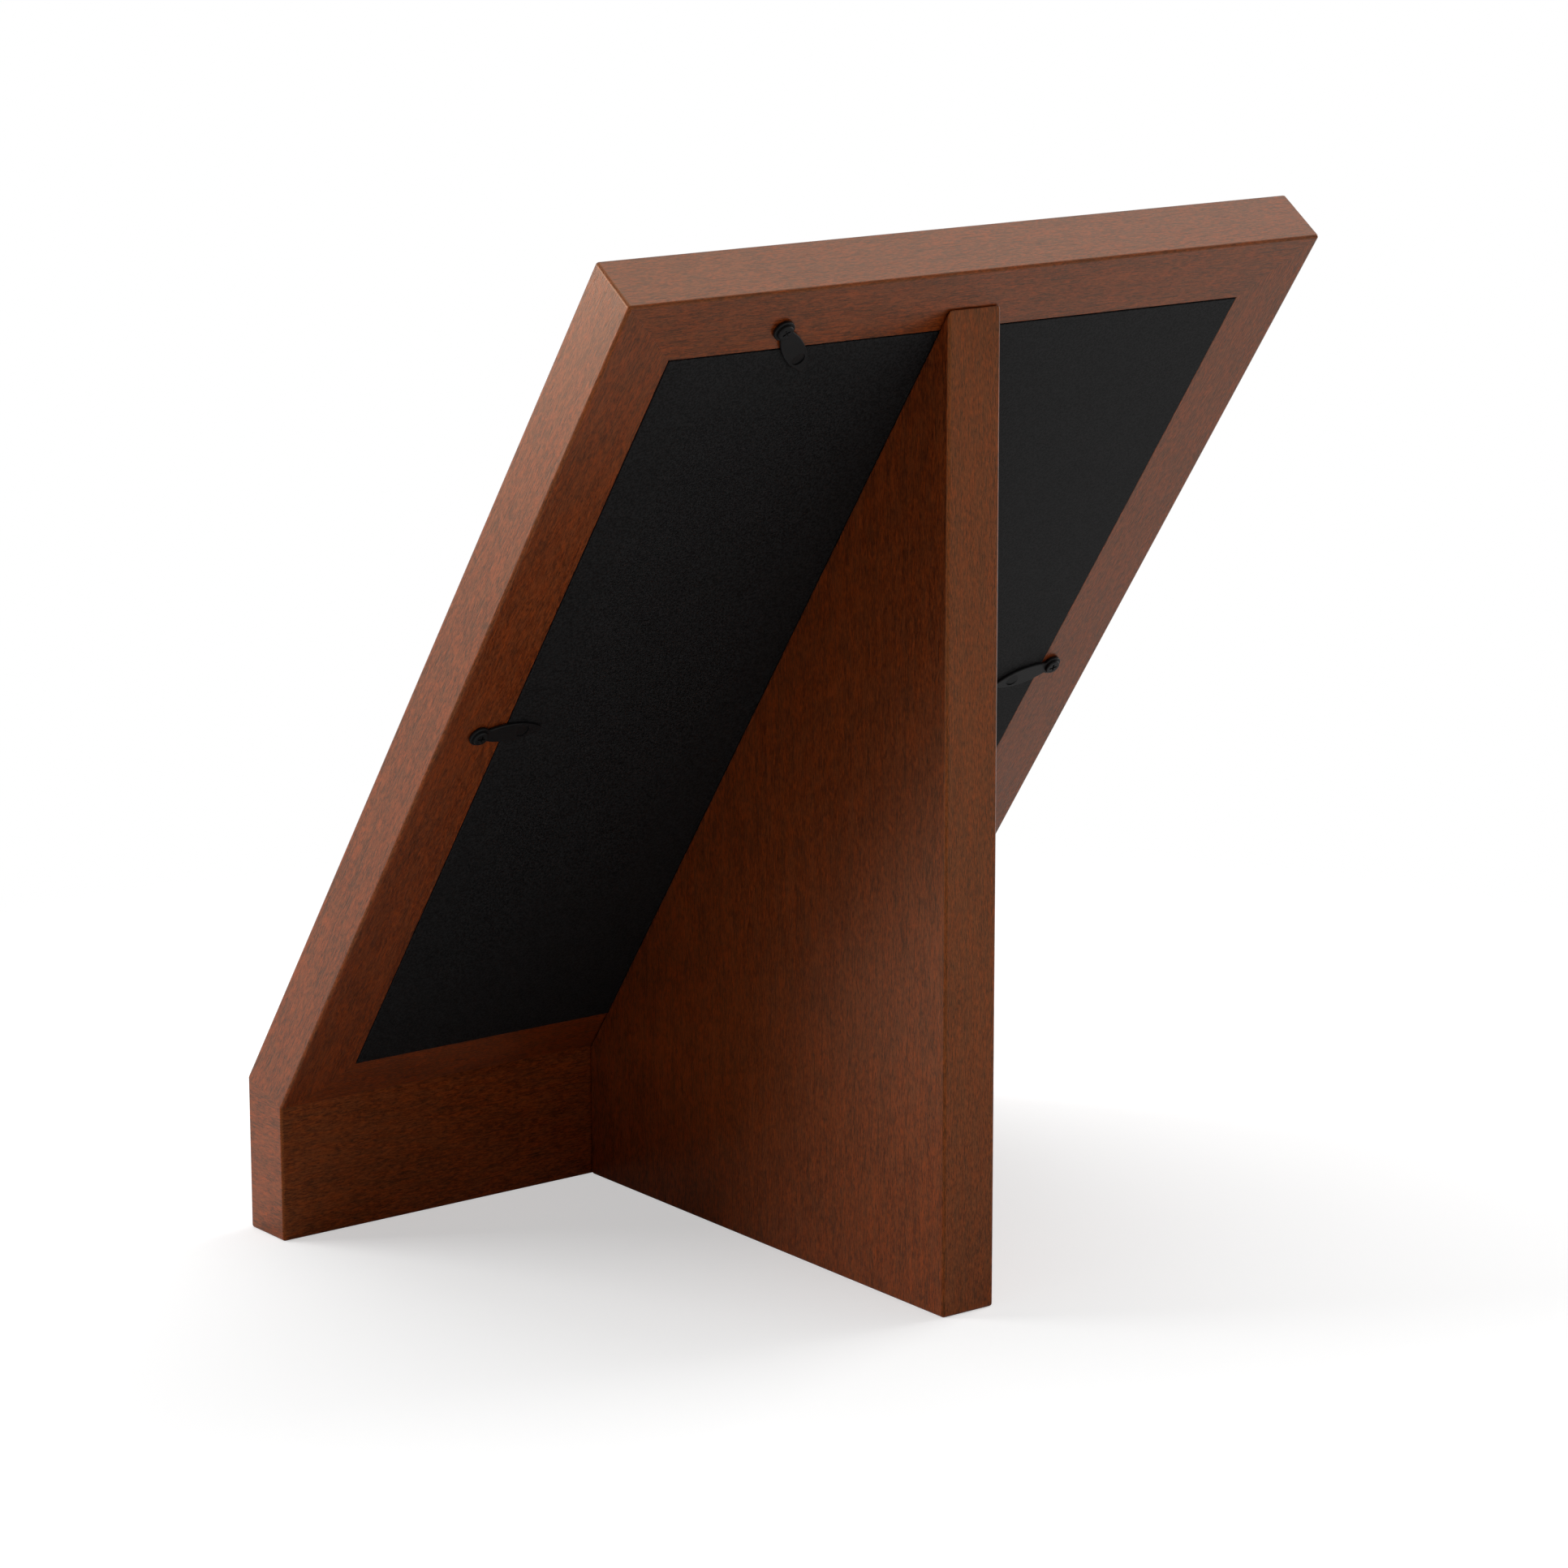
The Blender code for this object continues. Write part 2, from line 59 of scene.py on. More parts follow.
# Sizes of the joinery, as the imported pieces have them
plinth_low, plinth_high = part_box("plinth_board")
fin_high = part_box("easel_fin")[1]
HALF_WIDTH = plinth_high.x
BEND_Y = plinth_high.y
STOCK = plinth_high.y - plinth_low.y
LEAN = math.radians(35)
PLINTH_HEIGHT = 26.6 * MM
RAIL_WIDTH = 13.5 * MM
LIP_WIDTH = 5 * MM
OPENING_HALF = HALF_WIDTH - RAIL_WIDTH
OPENING_HEIGHT = 180 * MM
BEND_RISE = STOCK * math.tan(LEAN / 2)
OPENING_BOTTOM = RAIL_WIDTH - BEND_RISE
OPENING_TOP = OPENING_BOTTOM + OPENING_HEIGHT
SLOPE = OPENING_TOP + RAIL_WIDTH

UP_SLOPE = Vector((0, math.sin(LEAN), math.cos(LEAN)))
OUT_OF_FRONT = Vector((0, -math.cos(LEAN), math.sin(LEAN)))
ON_SLOPE = Matrix.Translation((0, BEND_Y, PLINTH_HEIGHT)) @ Matrix.Rotation(
    math.pi / 2 - LEAN, 4, "X"
)

# Layers in the rebate, from the back
BOARD_THICKNESS = 3 * MM
PRINT_THICKNESS = 0.3 * MM
MAT_THICKNESS = 1.4 * MM
GLASS_THICKNESS = 2 * MM
LAYERS = (BOARD_THICKNESS, PRINT_THICKNESS, MAT_THICKNESS, GLASS_THICKNESS)
LAYER_GAP = 0.3 * MM
REBATE_DEPTH = sum(LAYERS) + len(LAYERS) * LAYER_GAP
SHEET_PLAY = 0.4 * MM
PRINT_EDGE = 2.5 * MM
MAT_BORDER = 17 * MM
BOARD_PROUD = 0.15 * MM  # the backing board stands this far out of the back
BOARD_GAPS = {"left": 0.12 * MM, "right": 0.15 * MM, "bottom": 0.03 * MM, "top": 0.14 * MM}

# Edges and cuts
EDGE_RADIUS = 0.6 * MM
ARRIS = 0.12 * MM
SIGHT_EDGE = 1.1 * MM
GLASS_EDGE = 0.25 * MM
JOINT = 0.004 * MM  # glued joints close to this
SPARE = 2 * MM  # how far a cutting tool stands out of what it cuts
NEAR = 0.01 * MM
MERGE = 0.001 * MM
HOLE_SIDES = 32

# Turn buttons: each blade's turn in the slope's axes, from the right, anticlockwise from the front
BLADE_TURNS = {"top": 229.8, "right": 180.3, "left": -15, "bottom": 49.8}
PLATE_UNDER = 0.155 * MM
PLATE_TOP = 0.75 * MM
EYE_RADIUS = 2.05 * MM
NECK_HALF = 1.35 * MM
WIDEST = Vector((6.8, 2.15)) * MM
BLADE_LENGTH = 13.4 * MM
TIP_RADIUS = 0.35 * MM
DENT_PLACE = 9.15 * MM
DENT_RADIUS = 1.35 * MM
DENT_DEPTH = 0.26 * MM
PLATE_EDGES = ((PLATE_TOP, 0.18 * MM, 4), (PLATE_UNDER, 0.08 * MM, 2))  # level, radius, steps
BUTTON_SCREW_RADIUS = 0.75 * MM
BUTTON_SCREW_POINT = -8 * MM
BUTTON_HEAD_RADIUS = 1.55 * MM
BUTTON_HEAD_HEIGHT = 0.55 * MM
BUTTON_HEAD_EDGE = 0.28 * MM
BUTTON_RECESS_REACH = 0.95 * MM
BUTTON_RECESS_SLOT = 0.2 * MM  # half its width
BUTTON_RECESS_DEPTH = 0.42 * MM
BUTTON_SCREW_PITCH = 0.6 * MM
BUTTON_SIDES = 48
BOTTOM_BUTTON_LIFT = 0.2 * MM  # clears the plinth when the blade is turned right down to it
SHANK_IN_HEAD = 0.2 * MM
FIT = 0.05 * MM

# Joinery inside the wood
FIN_SCREW_PLACES = (25 * MM, 85 * MM, 145 * MM)
FIN_SCREW_LENGTH = 14 * MM
FIN_SCREW_RADIUS = 1.5 * MM
FIN_SCREW_HEAD = 2.8 * MM
FIN_SCREW_RIM = 0.25 * MM
FIN_SCREW_CONE = FIN_SCREW_HEAD - FIN_SCREW_RADIUS
FIN_SCREW_PITCH = 1.2 * MM
FIN_RECESS_REACH = 1.5 * MM
FIN_RECESS_SLOT = 0.36 * MM  # half its width
FIN_RECESS_DEPTH = 1.1 * MM
FIN_SCREW_SIDES = 40
KEY_ALONG = 5 * MM
KEY_THICKNESS = 3 * MM
KEY_DEPTH = 6 * MM
KEY_WALL = 1.3 * MM
KEY_EDGE = 0.3 * MM
KEY_ROOM = OPENING_BOTTOM + (KEY_DEPTH - KEY_THICKNESS / 2) * math.tan(LEAN / 2)
KEY_ACROSS = math.sqrt(2) * (KEY_ROOM - 2 * KEY_WALL) - KEY_ALONG
DOWEL_PLACES = (-55 * MM, -20 * MM, 20 * MM, 55 * MM)
DOWEL_RADIUS = 1.5 * MM
DOWEL_LENGTH = 12 * MM
DOWEL_SIDES = 32
DOWEL_EDGE = 0.35 * MM
FLUTE_EVERY = 4  # sides
FLUTE_DEPTH = 0.14 * MM
FLUTE_WALL = 0.03 * MM

# Studio
FLOOR_SIZE = 16
FLOOR_TONE = 0.86
FLOOR_GLOW = 0.5
FLOOR_SHADE = 0.62
SHADOW_REACH = 0.16
SKY_TONE = 0.8
PANE_SHADOW = 0.22
CAMERA_PLACE = Vector((0.5790057, 0.7657278, 0.312811))
CAMERA_LOOK = Vector((-0.589267, -0.775334, -0.227206))
CAMERA_ROLL = math.radians(-0.072)
CAMERA_LENS = 119.69
AIM = Vector((0, 0, 0.08))
# Square lamps about the object: direction and height angle in degrees, distance and side in
# metres, and power in watts
LAMPS = {
    "low_right": (-45, 8, 1.5, 0.9, 22.2),
    "low_left": (180, 8, 1.5, 0.9, 15.8),
    "overhead": (0, 90, 1.5, 1.2, 10.1),
    "high_left": (180, 60, 1.5, 0.9, 4.3),
    "low_back": (90, 8, 1.5, 0.9, 3.3),
    "high_front": (270, 60, 1.5, 0.9, 2.6),
    "low_far_right": (0, 8, 1.5, 0.9, 1.8),
}


# Editing


def start_edit(piece):
    bpy.ops.object.select_all(action="DESELECT")
    bpy.context.view_layer.objects.active = piece
    piece.select_set(True)
    bpy.ops.object.mode_set(mode="EDIT")
    bpy.ops.mesh.select_all(action="DESELECT")


def end_edit():
    bpy.ops.object.mode_set(mode="OBJECT")


def pick(piece, kind, test):
    """Selects the faces or edges of an open mesh that pass a test, and nothing else."""
    bpy.ops.mesh.select_mode(type=kind)
    bpy.ops.mesh.select_all(action="DESELECT")
    mesh = bmesh.from_edit_mesh(piece.data)
    mesh.normal_update()
    for item in mesh.faces if kind == "FACE" else mesh.edges:
        if test(item):
            item.select_set(True)
    bmesh.update_edit_mesh(piece.data)


def at(value, wanted):
    return abs(value - wanted) < NEAR


def facing(x, y, z):
    """A test for faces that look one way."""
    return lambda face: face.normal.dot(Vector((x, y, z))) > 0.5


def on_level(height):
    """A test for faces and edges that lie flat at one height."""
    return lambda item: all(at(vert.co.z, height) for vert in item.verts)


def is_square(edge):
    """Whether two faces meet at an edge and turn by more than 60 degrees there."""
    return len(edge.link_faces) == 2 and edge.calc_face_angle() > math.radians(60)


def name_piece(name):
    piece = bpy.context.object
    piece.name = name
    piece.data.name = name
    bpy.ops.object.transform_apply(location=True, rotation=True, scale=True)
    return piece


def start_box(name, low, high):
    """A cube stretched between two opposite corners."""
    low, high = Vector(low), Vector(high)
    bpy.ops.object.select_all(action="DESELECT")
    bpy.ops.mesh.primitive_cube_add(size=1, location=(low + high) / 2, scale=high - low)
    return name_piece(name)


def start_rod(name, radius, low, high, sides, top_radius=None):
    """An upright rod or cone on the Z axis between two heights."""
    bpy.ops.object.select_all(action="DESELECT")
    bpy.ops.mesh.primitive_cone_add(
        vertices=sides,
        radius1=radius,
        radius2=radius if top_radius is None else top_radius,
        depth=high - low,
        location=(0, 0, (low + high) / 2),
    )
    return name_piece(name)


def settle(piece, place):
    """Moves a piece to its place and keeps the move in its mesh."""
    piece.data.transform(place)
    piece.data.update()


def twin(piece, name):
    copy = piece.copy()
    copy.data = piece.data.copy()
    copy.name = name
    copy.data.name = name
    bpy.context.scene.collection.objects.link(copy)
    return copy


def saw(point, away):
    """Cuts off what lies on one side of a plane, in the open mesh, and closes the cut."""
    bpy.ops.mesh.select_all(action="SELECT")
    bpy.ops.mesh.bisect(
        plane_co=point, plane_no=away, use_fill=True, clear_outer=True, threshold=MERGE
    )


def apply_modifier(piece, modifier):
    bpy.ops.object.select_all(action="DESELECT")
    bpy.context.view_layer.objects.active = piece
    piece.select_set(True)
    bpy.ops.object.modifier_apply(modifier=modifier.name)


def combine(piece, tool, operation="DIFFERENCE"):
    """Cuts a tool out of a piece, or joins it on, and uses the tool up."""
    modifier = piece.modifiers.new("combine", "BOOLEAN")
    modifier.operation = operation
    modifier.solver = "EXACT"
    modifier.object = tool
    apply_modifier(piece, modifier)
    bpy.data.objects.remove(tool)


def ease(radius, segments=4):
    """Rounds the edges that are picked."""
    bpy.ops.mesh.bevel(
        offset=radius, offset_type="OFFSET", segments=segments, profile=0.5, affect="EDGES"
    )


def ease_square_edges(piece, radius, segments=4):
    start_edit(piece)
    pick(piece, "EDGE", is_square)
    ease(radius, segments)
    end_edit()


def smooth(piece, angle=35):
    """Outward faces, soft shading up to an angle, and flat faces that stay flat."""
    start_edit(piece)
    bpy.ops.mesh.select_all(action="SELECT")
    bpy.ops.mesh.remove_doubles(threshold=MERGE)
    bpy.ops.mesh.normals_make_consistent(inside=False)
    end_edit()
    bpy.ops.object.shade_smooth_by_angle(angle=math.radians(angle))
    modifier = piece.modifiers.new("even_normals", "WEIGHTED_NORMAL")
    modifier.mode = "FACE_AREA"
    modifier.keep_sharp = True
    apply_modifier(piece, modifier)


# Finishes


class Value:
    """A number or colour that changes over a surface. Arithmetic on it adds Math nodes."""

    def __init__(self, finish, socket):
        self.finish = finish
        self.socket = socket

    def __add__(self, other):
        return self.finish.maths("ADD", self, other)

    def __sub__(self, other):
        return self.finish.maths("SUBTRACT", self, other)

    def __rsub__(self, other):
        return self.finish.maths("SUBTRACT", other, self)

    def __mul__(self, other):
        return self.finish.maths("MULTIPLY", self, other)

    __radd__ = __add__
    __rmul__ = __mul__


class Finish:
    """A material whose surface is a Principled shader."""

    def __init__(self, name, **constants):
        self.material = bpy.data.materials.new(name)
        self.material.use_nodes = True
        self.tree = self.material.node_tree
        self.shader = self.tree.nodes["Principled BSDF"]
        for socket, value in constants.items():
            self.shader.inputs[socket.replace("_", " ")].default_value = value
        self.place = self.node("TexCoord", output="Object")

    def node(self, kind, settings=None, inputs=None, output=0):
        """Adds one node, sets it up, then fills its sockets with values or links."""
        node = self.tree.nodes.new("ShaderNode" + kind)
        for setting, value in (settings or {}).items():
            setattr(node, setting, value)
        for socket, value in (inputs or {}).items():
            if isinstance(value, Value):
                self.tree.links.new(value.socket, node.inputs[socket])
            else:
                node.inputs[socket].default_value = value
        return Value(self, node.outputs[output])

    def maths(self, operation, first, second):
        return self.node("Math", {"operation": operation}, {0: first, 1: second})

    def drive(self, **sockets):
        """Links what changes over the surface to the shader."""
        for socket, value in sockets.items():
            self.tree.links.new(value.socket, self.shader.inputs[socket.replace("_", " ")])

    def turned(self, turn, shift=(0, 0, 0)):
        return self.node(
            "Mapping", {}, {"Vector": self.place, "Rotation": turn, "Location": shift}
        )

    def scaled(self, vector, sizes):
        """Stretches a place so that one unit is the given size, in metres, along each axis."""
        inverse = [1 / size for size in sizes]
        return self.node("VectorMath", {"operation": "MULTIPLY"}, {0: vector, 1: inverse})

    def noise(self, vector, sizes, detail=2, roughness=0.5, distortion=0):
        return self.node(
            "TexNoise",
            {},
            {
                "Vector": self.scaled(vector, sizes),
                "Scale": 1,
                "Detail": detail,
                "Roughness": roughness,
                "Distortion": distortion,
            },
        )

    def between(self, value, low, high, to_low=0, to_high=1):
        """Fades smoothly from one number to another as a value goes from low to high."""
        return self.node(
            "MapRange",
            {"interpolation_type": "SMOOTHSTEP"},
            {0: value, 1: low, 2: high, 3: to_low, 4: to_high},
        )

    def mix(self, factor, first, second):
        """Blends two colours."""
        colours = {6: first, 7: second}
        for socket, colour in colours.items():
            if not isinstance(colour, Value):
                colours[socket] = (*colour, 1)
        return self.node("Mix", {"data_type": "RGBA"}, {0: factor, **colours}, output=2)

    def flecks(self, vector, sizes, share):
        """Short pores, each in its own stretched cell, in a share of the cells."""
        first_edge, last_edge = 0.08, 0.26
        cell = {"Vector": self.scaled(vector, sizes), "Scale": 1, "Randomness": 1}
        reach = self.node("TexVoronoi", {}, cell, output="Distance")
        chance = self.node("TexVoronoi", {}, cell, output="Color")
        chance = self.node("SeparateColor", {}, {0: chance}, output=0)
        depth = self.between(chance, 1 - share, 1.1 - share / 2)
        return self.between(reach, first_edge, last_edge, 1, 0) * depth

    def bump(self, height, depth, strength=1.0):
        return self.node("Bump", {}, {"Height": height, "Distance": depth, "Strength": strength})


def stained_beech(name, turn, shift, end_turn=None):
    """Walnut stain on beech: fine fibres, short dark flecks and a soft mottle along the grain.

    The noises' sizes run along the grain first. A second turn gives the ends of a piece, which
    look along X, a grain of their own.
    """
    warm_dark, warm_light = (0.048, 0.0072, 0.0012), (0.236, 0.041, 0.0062)
    dull_dark, dull_light = (0.046, 0.0095, 0.0024), (0.196, 0.041, 0.0090)
    pore_dark = (0.014, 0.0036, 0.0018)
    wood = Finish(name, Specular_IOR_Level=0.5, Specular_Tint=(1.0, 0.52, 0.22, 1))
    grain = wood.turned(turn, shift)
    if end_turn:
        normal = wood.node("TexCoord", output="Normal")
        along_x = wood.node("SeparateXYZ", {}, {0: normal}, output=0)
        on_end = wood.between(along_x * along_x, 0.4, 0.6)
        end_grain = wood.turned(end_turn, shift)
        grain = wood.node(
            "Mix", {"data_type": "VECTOR"}, {0: on_end, 4: grain, 5: end_grain}, output=1
        )

    fibre = wood.noise(grain, (1.2 * MM, 0.26 * MM, 0.26 * MM), detail=2, roughness=0.8)
    streak = wood.noise(grain, (26 * MM, 1.3 * MM, 1.3 * MM), detail=4, roughness=0.65)
    mottle = wood.noise(grain, (14 * MM, 6 * MM, 6 * MM), detail=3, distortion=0.8)
    wander = wood.noise(grain, (5 * MM, 1.2 * MM, 1.2 * MM), detail=3, distortion=0.4)
    pore = wood.noise(grain, (5.2 * MM, 0.24 * MM, 0.24 * MM), detail=1)

    long_fleck = wood.flecks(grain, (3.8 * MM, 0.42 * MM, 0.42 * MM), 0.45)
    short_fleck = wood.between(pore, 0.57, 0.66)

    tone = 0.6 * streak + 0.45 * mottle + 3.2 * fibre - 1.6
    warm = wood.mix(tone, warm_dark, warm_light)
    dull = wood.mix(tone, dull_dark, dull_light)
    base = wood.mix(wood.between(wander, 0.35, 0.65), warm, dull)
    flecked = wood.mix(0.7 * long_fleck, base, pore_dark)
    wood.drive(
        Base_Color=wood.mix(0.5 * short_fleck, flecked, pore_dark),
        Roughness=0.25 + 0.10 * fibre + 0.12 * long_fleck,
        Normal=wood.bump(0.55 * fibre - 0.5 * long_fleck - 0.4 * short_fleck, 0.05 * MM, 0.3),
    )
    return wood.material


def plain_beech():
    beech = Finish("plain_beech", Roughness=0.55)
    fibre = beech.noise(beech.place, (0.5 * MM, 6 * MM, 6 * MM), detail=3)
    beech.drive(
        Base_Color=beech.mix(fibre, (0.46, 0.28, 0.14), (0.62, 0.43, 0.25)),
        Normal=beech.bump(fibre, 0.05 * MM, 0.3),
    )
    return beech.material


def black_board():
    """Matt black card face with a fine speckle."""
    board = Finish("black_board_face", Specular_IOR_Level=0.10)
    speckle = board.noise(board.place, (0.42 * MM,) * 3, detail=2, roughness=0.8)
    cloud = board.noise(board.place, (7 * MM,) * 3, detail=2)
    board.drive(
        Base_Color=board.mix(
            board.between(speckle, 0.38, 0.62) * 0.8 + 0.2 * cloud,
            (0.0008, 0.0008, 0.0009),
            (0.0135, 0.0135, 0.0138),
        ),
        Roughness=0.52 + 0.2 * speckle,
        Normal=board.bump(speckle, 0.05 * MM, 0.5),
    )
    return board.material


def black_metal():
    """Satin black paint over stamped steel."""
    paint = Finish("satin_black_metal", Specular_IOR_Level=0.14)
    grain = paint.noise(paint.place, (0.25 * MM,) * 3, detail=3, roughness=0.65)
    paint.drive(
        Base_Color=paint.mix(grain, (0.0015, 0.0015, 0.0016), (0.0075, 0.0075, 0.0078)),
        Roughness=0.38 + 0.2 * grain,
        Normal=paint.bump(grain, 0.02 * MM, 0.6),
    )
    return paint.material


def zinc_steel():
    zinc = Finish("bright_zinc", Metallic=1.0)
    bloom = zinc.noise(zinc.place, (1.2 * MM,) * 3, detail=3)
    zinc.drive(
        Base_Color=zinc.mix(bloom, (0.55, 0.54, 0.50), (0.72, 0.71, 0.66)),
        Roughness=0.28 + 0.25 * bloom,
    )
    return zinc.material


def mat_card():
    """Off-white textured card."""
    card = Finish("mat_card", Roughness=0.9, Specular_IOR_Level=0.3)
    tooth = card.noise(card.place, (0.5 * MM,) * 3, detail=3, roughness=0.7)
    card.drive(
        Base_Color=card.mix(tooth, (0.76, 0.74, 0.68), (0.86, 0.84, 0.79)),
        Normal=card.bump(tooth, 0.05 * MM, 0.4),
    )
    return card.material


def clear_glass():
    tint = (0.96, 0.98, 0.97, 1)
    glass = Finish("clear_glass", Base_Color=tint, Transmission_Weight=1.0, IOR=1.5)
    film = glass.noise(glass.place, (30 * MM,) * 3, detail=2)
    glass.drive(Roughness=0.01 + 0.02 * film)
    # A share of the lamps' light goes straight through the pane to the print and the mat.
    solid = Value(glass, glass.shader.outputs[0])
    clear = glass.node("BsdfTransparent", {}, {"Color": (PANE_SHADOW,) * 3 + (1,)})
    shadow = glass.node("LightPath", output="Is Shadow Ray")
    surface = glass.node("MixShader", {}, {0: shadow, 1: solid, 2: clear})
    output = glass.tree.nodes["Material Output"]
    glass.tree.links.new(surface.socket, output.inputs["Surface"])
    return glass.material


def printed_landscape():
    """A generic picture of hills under a pale sky, printed on satin paper."""
    paper = Finish("printed_paper", Specular_IOR_Level=0.45)
    flat = paper.turned((LEAN - math.pi / 2, 0, 0))
    across = paper.node("SeparateXYZ", {}, {0: flat}, output=0)
    # The height up the slope starts at the bend line.
    bottom = BEND_Y * math.sin(LEAN) + PLINTH_HEIGHT * math.cos(LEAN)
    up = paper.node("SeparateXYZ", {}, {0: flat}, output=1) - bottom
    cloud = paper.noise(flat, (60 * MM, 14 * MM, 60 * MM), detail=4)
    picture = paper.mix(
        paper.between(up, 80 * MM, 185 * MM), (0.86, 0.80, 0.68), (0.24, 0.44, 0.62)
    )
    picture = paper.mix(0.7 * paper.between(cloud, 0.5, 0.72), picture, (0.92, 0.91, 0.88))
    # Each hill has its height, how far it swells, the length of its swells and its colour.
    hills = (
        (112 * MM, 16 * MM, 40 * MM, (0.30, 0.42, 0.48)),
        (94 * MM, 14 * MM, 27 * MM, (0.17, 0.30, 0.27)),
        (74 * MM, 12 * MM, 19 * MM, (0.10, 0.21, 0.10)),
        (48 * MM, 9 * MM, 13 * MM, (0.26, 0.31, 0.09)),
    )
    for height, swell, length, colour in hills:
        line = paper.node("CombineXYZ", {}, {0: across, 1: height})
        ridge = paper.noise(line, (length, 1, 1), detail=3)
        rise = height - swell + 2 * swell * ridge
        picture = paper.mix(paper.between(rise - up, 0, 0.5 * MM), picture, colour)
    paper.drive(Base_Color=picture, Roughness=0.32 + 0.1 * cloud)
    return paper.material


def dress(piece, body, slot, material, *nodes):
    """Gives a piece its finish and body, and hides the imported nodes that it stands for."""
    piece.data.materials.clear()
    piece.data.materials.append(material)
    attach(piece, body)
    if nodes:
        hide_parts(*nodes)


# Moulding and plinth


def opening_tool(name, half, bottom, top, low, high):
    tool = start_box(name, (-half, bottom, low), (half, top, high))
    settle(tool, ON_SLOPE)
    return tool


def bent_board():
    """The moulding and the plinth as one board, bent at the bend line, with its opening cut."""
    front = BEND_Y - STOCK
    board = start_box("bent_board", (-HALF_WIDTH, front, 0), (HALF_WIDTH, BEND_Y, PLINTH_HEIGHT))
    start_edit(board)
    pick(
        board,
        "EDGE",
        lambda edge: all(at(v.co.y, front) and at(v.co.z, PLINTH_HEIGHT) for v in edge.verts),
    )
    bpy.ops.transform.translate(value=(0, 0, BEND_RISE))
    pick(board, "FACE", facing(0, 0, 1))
    bpy.ops.mesh.extrude_region_move(
        TRANSFORM_OT_translate={"value": UP_SLOPE * (SLOPE + BEND_RISE + SPARE)}
    )
    saw(ON_SLOPE @ Vector((0, SLOPE, 0)), UP_SLOPE)
    pick(board, "EDGE", is_square)
    ease(EDGE_RADIUS)
    end_edit()

    rebate = (OPENING_HALF, OPENING_BOTTOM, OPENING_TOP)
    sight = (OPENING_HALF - LIP_WIDTH, OPENING_BOTTOM + LIP_WIDTH, OPENING_TOP - LIP_WIDTH)
    combine(board, opening_tool("sight_tool", *sight, -SPARE, STOCK + SPARE))
    combine(board, opening_tool("rebate_tool", *rebate, -SPARE, REBATE_DEPTH))

    flat = ON_SLOPE.inverted()

    def on_rim(half, bottom, top, level):
        def test(edge):
            for vert in edge.verts:
                x, y, z = flat @ vert.co
                inside = abs(x) < half + NEAR and bottom - NEAR < y < top + NEAR
                if not (inside and at(z, level)):
                    return False
            return is_square(edge)

        return test

    start_edit(board)
    pick(board, "EDGE", on_rim(*rebate, 0))
    ease(ARRIS, 3)
    pick(board, "EDGE", on_rim(*sight, STOCK))
    ease(SIGHT_EDGE, 5)
    end_edit()
    return board


def make_moulding():
    """Saws the bent board at the bend and along the four mitres."""
    board = bent_board()
    bend = ON_SLOPE @ Vector((0, 0, 0))
    below_bend = Vector((0, -math.sin(LEAN / 2), -math.cos(LEAN / 2)))
    # Each mitre has a point on its line and the way from the stile to the rail.
    mitres = {
        "top_left": (Vector((-OPENING_HALF, OPENING_TOP, 0)), Vector((1, 1, 0))),
        "top_right": (Vector((OPENING_HALF, OPENING_TOP, 0)), Vector((-1, 1, 0))),
        "bottom_left": (Vector((-OPENING_HALF, OPENING_BOTTOM, 0)), Vector((1, -1, 0))),
        "bottom_right": (Vector((OPENING_HALF, OPENING_BOTTOM, 0)), Vector((-1, -1, 0))),
    }
    turn = ON_SLOPE.to_3x3()
    woods = {}
    for name, ends in {
        "top_rail": ("top_left", "top_right"),
        "bottom_rail": ("bottom_left", "bottom_right"),
        "left_stile": ("top_left", "bottom_left"),
        "right_stile": ("top_right", "bottom_right"),
    }.items():
        piece = woods[name] = twin(board, name + "_wood")
        start_edit(piece)
        if name != "top_rail":
            saw(bend - below_bend * JOINT / 2, below_bend)
        for corner in ends:
            point, to_rail = mitres[corner]
            away = to_rail.normalized() * (1 if name.endswith("stile") else -1)
            saw(ON_SLOPE @ (point - away * JOINT / 2), turn @ away)
        end_edit()

    board.name = board.data.name = "plinth_wood"
    woods["plinth_board"] = board
    start_edit(board)
    saw(bend + below_bend * JOINT / 2, -below_bend)
    end_edit()
    return woods


def finish_moulding(woods):
    """Each piece gets grain along its own length, from its own part of the plank."""
    along_x = (LEAN - math.pi / 2, 0, 0)
    along_slope = (LEAN - math.pi / 2, 0, math.pi / 2)
    # Each has its turn to the grain, its place in the plank and, on the plinth, its ends' turn.
    planks = {
        "top_rail": (along_x, (0.31, 0.02, 0.07)),
        "bottom_rail": (along_x, (0.12, 0.013, 0.21)),
        "left_stile": (along_slope, (0.47, 0.05, 0.11)),
        "right_stile": (along_slope, (0.75, 0.003, 0.33)),
        "plinth_board": ((0, 0, 0), (0.03, 0.4, 0.17), (0, 0, math.pi / 2)),
    }
    for name, plank in planks.items():
        smooth(woods[name])
        dress(woods[name], "frame", "stained_wood", stained_beech("beech_" + name, *plank), name)


# Easel fin


def make_fin():
    """An upright board, sawn along the frame's back, with all its edges eased."""
    half = fin_high.x
    tall = PLINTH_HEIGHT + (fin_high.y - BEND_Y) / math.tan(LEAN)
    fin = start_box(
        "easel_fin_wood", (-half, BEND_Y + JOINT, 0), (half, fin_high.y, tall + SPARE)
    )
    start_edit(fin)
    clear = BOARD_PROUD + JOINT
    saw(ON_SLOPE @ Vector((0, 0, -clear)), OUT_OF_FRONT)
    end_edit()
    ease_square_edges(fin, EDGE_RADIUS)
    return fin


def finish_fin(fin):
    smooth(fin)
    material = stained_beech("beech_fin", (0, math.pi / 2, 0), (0.27, 0.09, 0.38))
    dress(fin, "frame", "stained_wood", material, "easel_fin")


# Backing board, print, mat and glass


